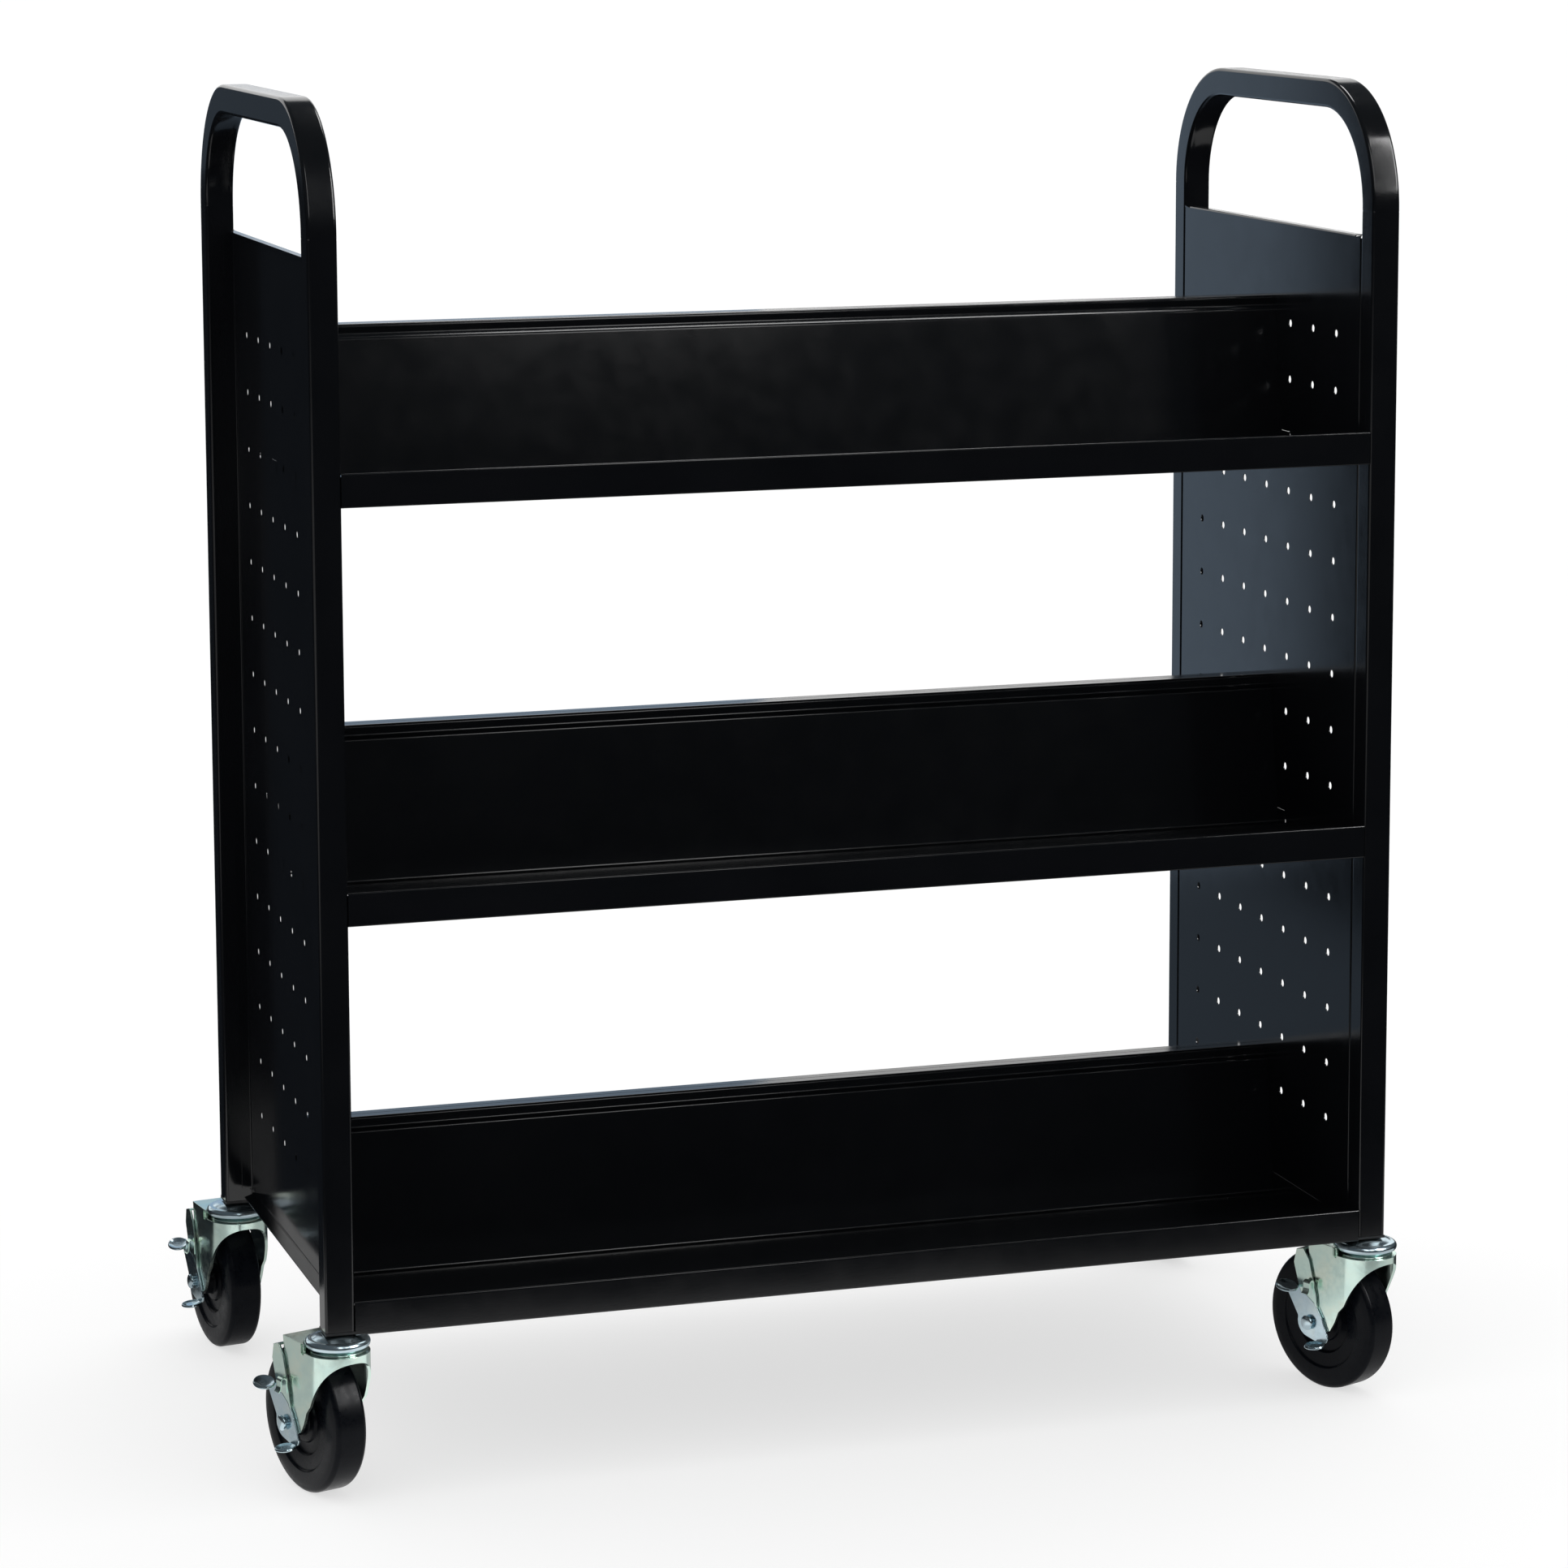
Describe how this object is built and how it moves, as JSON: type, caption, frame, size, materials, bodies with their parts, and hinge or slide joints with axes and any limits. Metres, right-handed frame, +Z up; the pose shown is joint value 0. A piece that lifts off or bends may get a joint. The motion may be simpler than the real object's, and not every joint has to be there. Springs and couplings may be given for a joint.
{
  "type": "book cart",
  "caption": "Double-sided steel book cart: tube end frames with push handles, perforated end panels, sloped shelves on three tiers, braked swivel casters.",
  "frame": {"origin": "on the floor under the middle of the whole cart at rest; the frame's own centre is 16.7 mm to +X and 38.0 mm to -Y of it, because the casters trail to the rear", "axes": "+Z up; X along the shelves between the two end frames; the front shelves open towards -Y and the rear shelves towards +Y"},
  "size_m": [1.0289, 0.5627, 1.176],
  "materials": {
    "black_paint": "glossy black powder coat over sheet steel and steel tube",
    "zinc_plate": "bright zinc plating on pressed and turned steel",
    "black_rubber": "hard moulded black rubber, satin",
    "black_plastic": "moulded black plastic plug"
  },
  "bodies": {
    "frame": {"end_frame_left": "black_paint", "end_panel_left": "black_paint", "end_frame_right": "black_paint", "end_panel_right": "black_paint", "shelf_top_front": "black_paint", "shelf_top_rear": "black_paint", "shelf_middle_front": "black_paint", "shelf_middle_rear": "black_paint", "shelf_bottom_front": "black_paint", "shelf_bottom_rear": "black_paint", "tube_insert_front_left": "black_plastic", "stem_cap_front_left": "zinc_plate", "tube_insert_front_right": "black_plastic", "stem_cap_front_right": "zinc_plate", "tube_insert_rear_left": "black_plastic", "stem_cap_rear_left": "zinc_plate", "tube_insert_rear_right": "black_plastic", "stem_cap_rear_right": "zinc_plate"},
    "swivel_front_left": {"fork_front_left": "zinc_plate", "race_ring_front_left": "zinc_plate", "axle_sleeve_front_left": "zinc_plate", "axle_bolt_front_left": "zinc_plate", "axle_nut_front_left": "zinc_plate"},
    "rolling_wheel_front_left": {"wheel_front_left": "black_rubber"},
    "brake_pedal_front_left": {"brake_lever_front_left": "zinc_plate"},
    "brake_pad_front_left": {"brake_shoe_front_left": "zinc_plate"},
    "swivel_front_right": {"fork_front_right": "zinc_plate", "race_ring_front_right": "zinc_plate", "axle_sleeve_front_right": "zinc_plate", "axle_bolt_front_right": "zinc_plate", "axle_nut_front_right": "zinc_plate"},
    "rolling_wheel_front_right": {"wheel_front_right": "black_rubber"},
    "brake_pedal_front_right": {"brake_lever_front_right": "zinc_plate"},
    "brake_pad_front_right": {"brake_shoe_front_right": "zinc_plate"},
    "swivel_rear_left": {"fork_rear_left": "zinc_plate", "race_ring_rear_left": "zinc_plate", "axle_sleeve_rear_left": "zinc_plate", "axle_bolt_rear_left": "zinc_plate", "axle_nut_rear_left": "zinc_plate"},
    "rolling_wheel_rear_left": {"wheel_rear_left": "black_rubber"},
    "brake_pedal_rear_left": {"brake_lever_rear_left": "zinc_plate"},
    "brake_pad_rear_left": {"brake_shoe_rear_left": "zinc_plate"},
    "swivel_rear_right": {"fork_rear_right": "zinc_plate", "race_ring_rear_right": "zinc_plate", "axle_sleeve_rear_right": "zinc_plate", "axle_bolt_rear_right": "zinc_plate", "axle_nut_rear_right": "zinc_plate"},
    "rolling_wheel_rear_right": {"wheel_rear_right": "black_rubber"},
    "brake_pedal_rear_right": {"brake_lever_rear_right": "zinc_plate"},
    "brake_pad_rear_right": {"brake_shoe_rear_right": "zinc_plate"}
  },
  "joints": [
    {"name": "caster_swivel_front_left", "type": "hinge", "parent": "frame", "child": "swivel_front_left", "pos_m": [-0.4532, -0.2539, 0.14], "axis": [0, 0, 1], "continuous": true},
    {"name": "wheel_spin_front_left", "type": "hinge", "parent": "swivel_front_left", "child": "rolling_wheel_front_left", "pos_m": [-0.46523, -0.21575, 0.0635], "axis": [-0.9537, -0.3007, 0], "continuous": true},
    {"name": "brake_press_front_left", "type": "hinge", "parent": "swivel_front_left", "child": "brake_pedal_front_left", "pos_m": [-0.46523, -0.21575, 0.0635], "axis": [-0.9537, -0.3007, 0], "range_deg": [0, 22]},
    {"name": "shoe_travel_front_left", "type": "slide", "parent": "swivel_front_left", "child": "brake_pad_front_left", "axis": [0.0529, -0.1679, -0.9844], "range_m": [0, 0.0016]},
    {"name": "caster_swivel_front_right", "type": "hinge", "parent": "frame", "child": "swivel_front_right", "pos_m": [0.4866, -0.2539, 0.14], "axis": [0, 0, 1], "continuous": true},
    {"name": "wheel_spin_front_right", "type": "hinge", "parent": "swivel_front_right", "child": "rolling_wheel_front_right", "pos_m": [0.47129, -0.21694, 0.0635], "axis": [-0.9239, -0.3827, 0], "continuous": true},
    {"name": "brake_press_front_right", "type": "hinge", "parent": "swivel_front_right", "child": "brake_pedal_front_right", "pos_m": [0.47129, -0.21694, 0.0635], "axis": [-0.9239, -0.3827, 0], "range_deg": [0, 22]},
    {"name": "shoe_travel_front_right", "type": "slide", "parent": "swivel_front_right", "child": "brake_pad_front_right", "axis": [0.0674, -0.1626, -0.9844], "range_m": [0, 0.0016]},
    {"name": "caster_swivel_rear_left", "type": "hinge", "parent": "frame", "child": "swivel_rear_left", "pos_m": [-0.4532, 0.1779, 0.14], "axis": [0, 0, 1], "continuous": true},
    {"name": "wheel_spin_rear_left", "type": "hinge", "parent": "swivel_rear_left", "child": "rolling_wheel_rear_left", "pos_m": [-0.45911, 0.21746, 0.0635], "axis": [-0.989, -0.1478, 0], "continuous": true},
    {"name": "brake_press_rear_left", "type": "hinge", "parent": "swivel_rear_left", "child": "brake_pedal_rear_left", "pos_m": [-0.45911, 0.21746, 0.0635], "axis": [-0.989, -0.1478, 0], "range_deg": [0, 22]},
    {"name": "shoe_travel_rear_left", "type": "slide", "parent": "swivel_rear_left", "child": "brake_pad_rear_left", "axis": [0.026, -0.1741, -0.9844], "range_m": [0, 0.0016]},
    {"name": "caster_swivel_rear_right", "type": "hinge", "parent": "frame", "child": "swivel_rear_right", "pos_m": [0.4866, 0.1779, 0.14], "axis": [0, 0, 1], "continuous": true},
    {"name": "wheel_spin_rear_right", "type": "hinge", "parent": "swivel_rear_right", "child": "rolling_wheel_rear_right", "pos_m": [0.47965, 0.21729, 0.0635], "axis": [-0.9848, -0.1736, 0], "continuous": true},
    {"name": "brake_press_rear_right", "type": "hinge", "parent": "swivel_rear_right", "child": "brake_pedal_rear_right", "pos_m": [0.47965, 0.21729, 0.0635], "axis": [-0.9848, -0.1736, 0], "range_deg": [0, 22]},
    {"name": "shoe_travel_rear_right", "type": "slide", "parent": "swivel_rear_right", "child": "brake_pad_rear_right", "axis": [0.0306, -0.1733, -0.9844], "range_m": [0, 0.0016]}
  ],
  "couplings": [
    {"joint": "shoe_travel_front_left", "follows": "brake_press_front_left", "m_per_rad": 0.00416},
    {"joint": "shoe_travel_front_right", "follows": "brake_press_front_right", "m_per_rad": 0.00416},
    {"joint": "shoe_travel_rear_left", "follows": "brake_press_rear_left", "m_per_rad": 0.00416},
    {"joint": "shoe_travel_rear_right", "follows": "brake_press_rear_right", "m_per_rad": 0.00416}
  ]
}
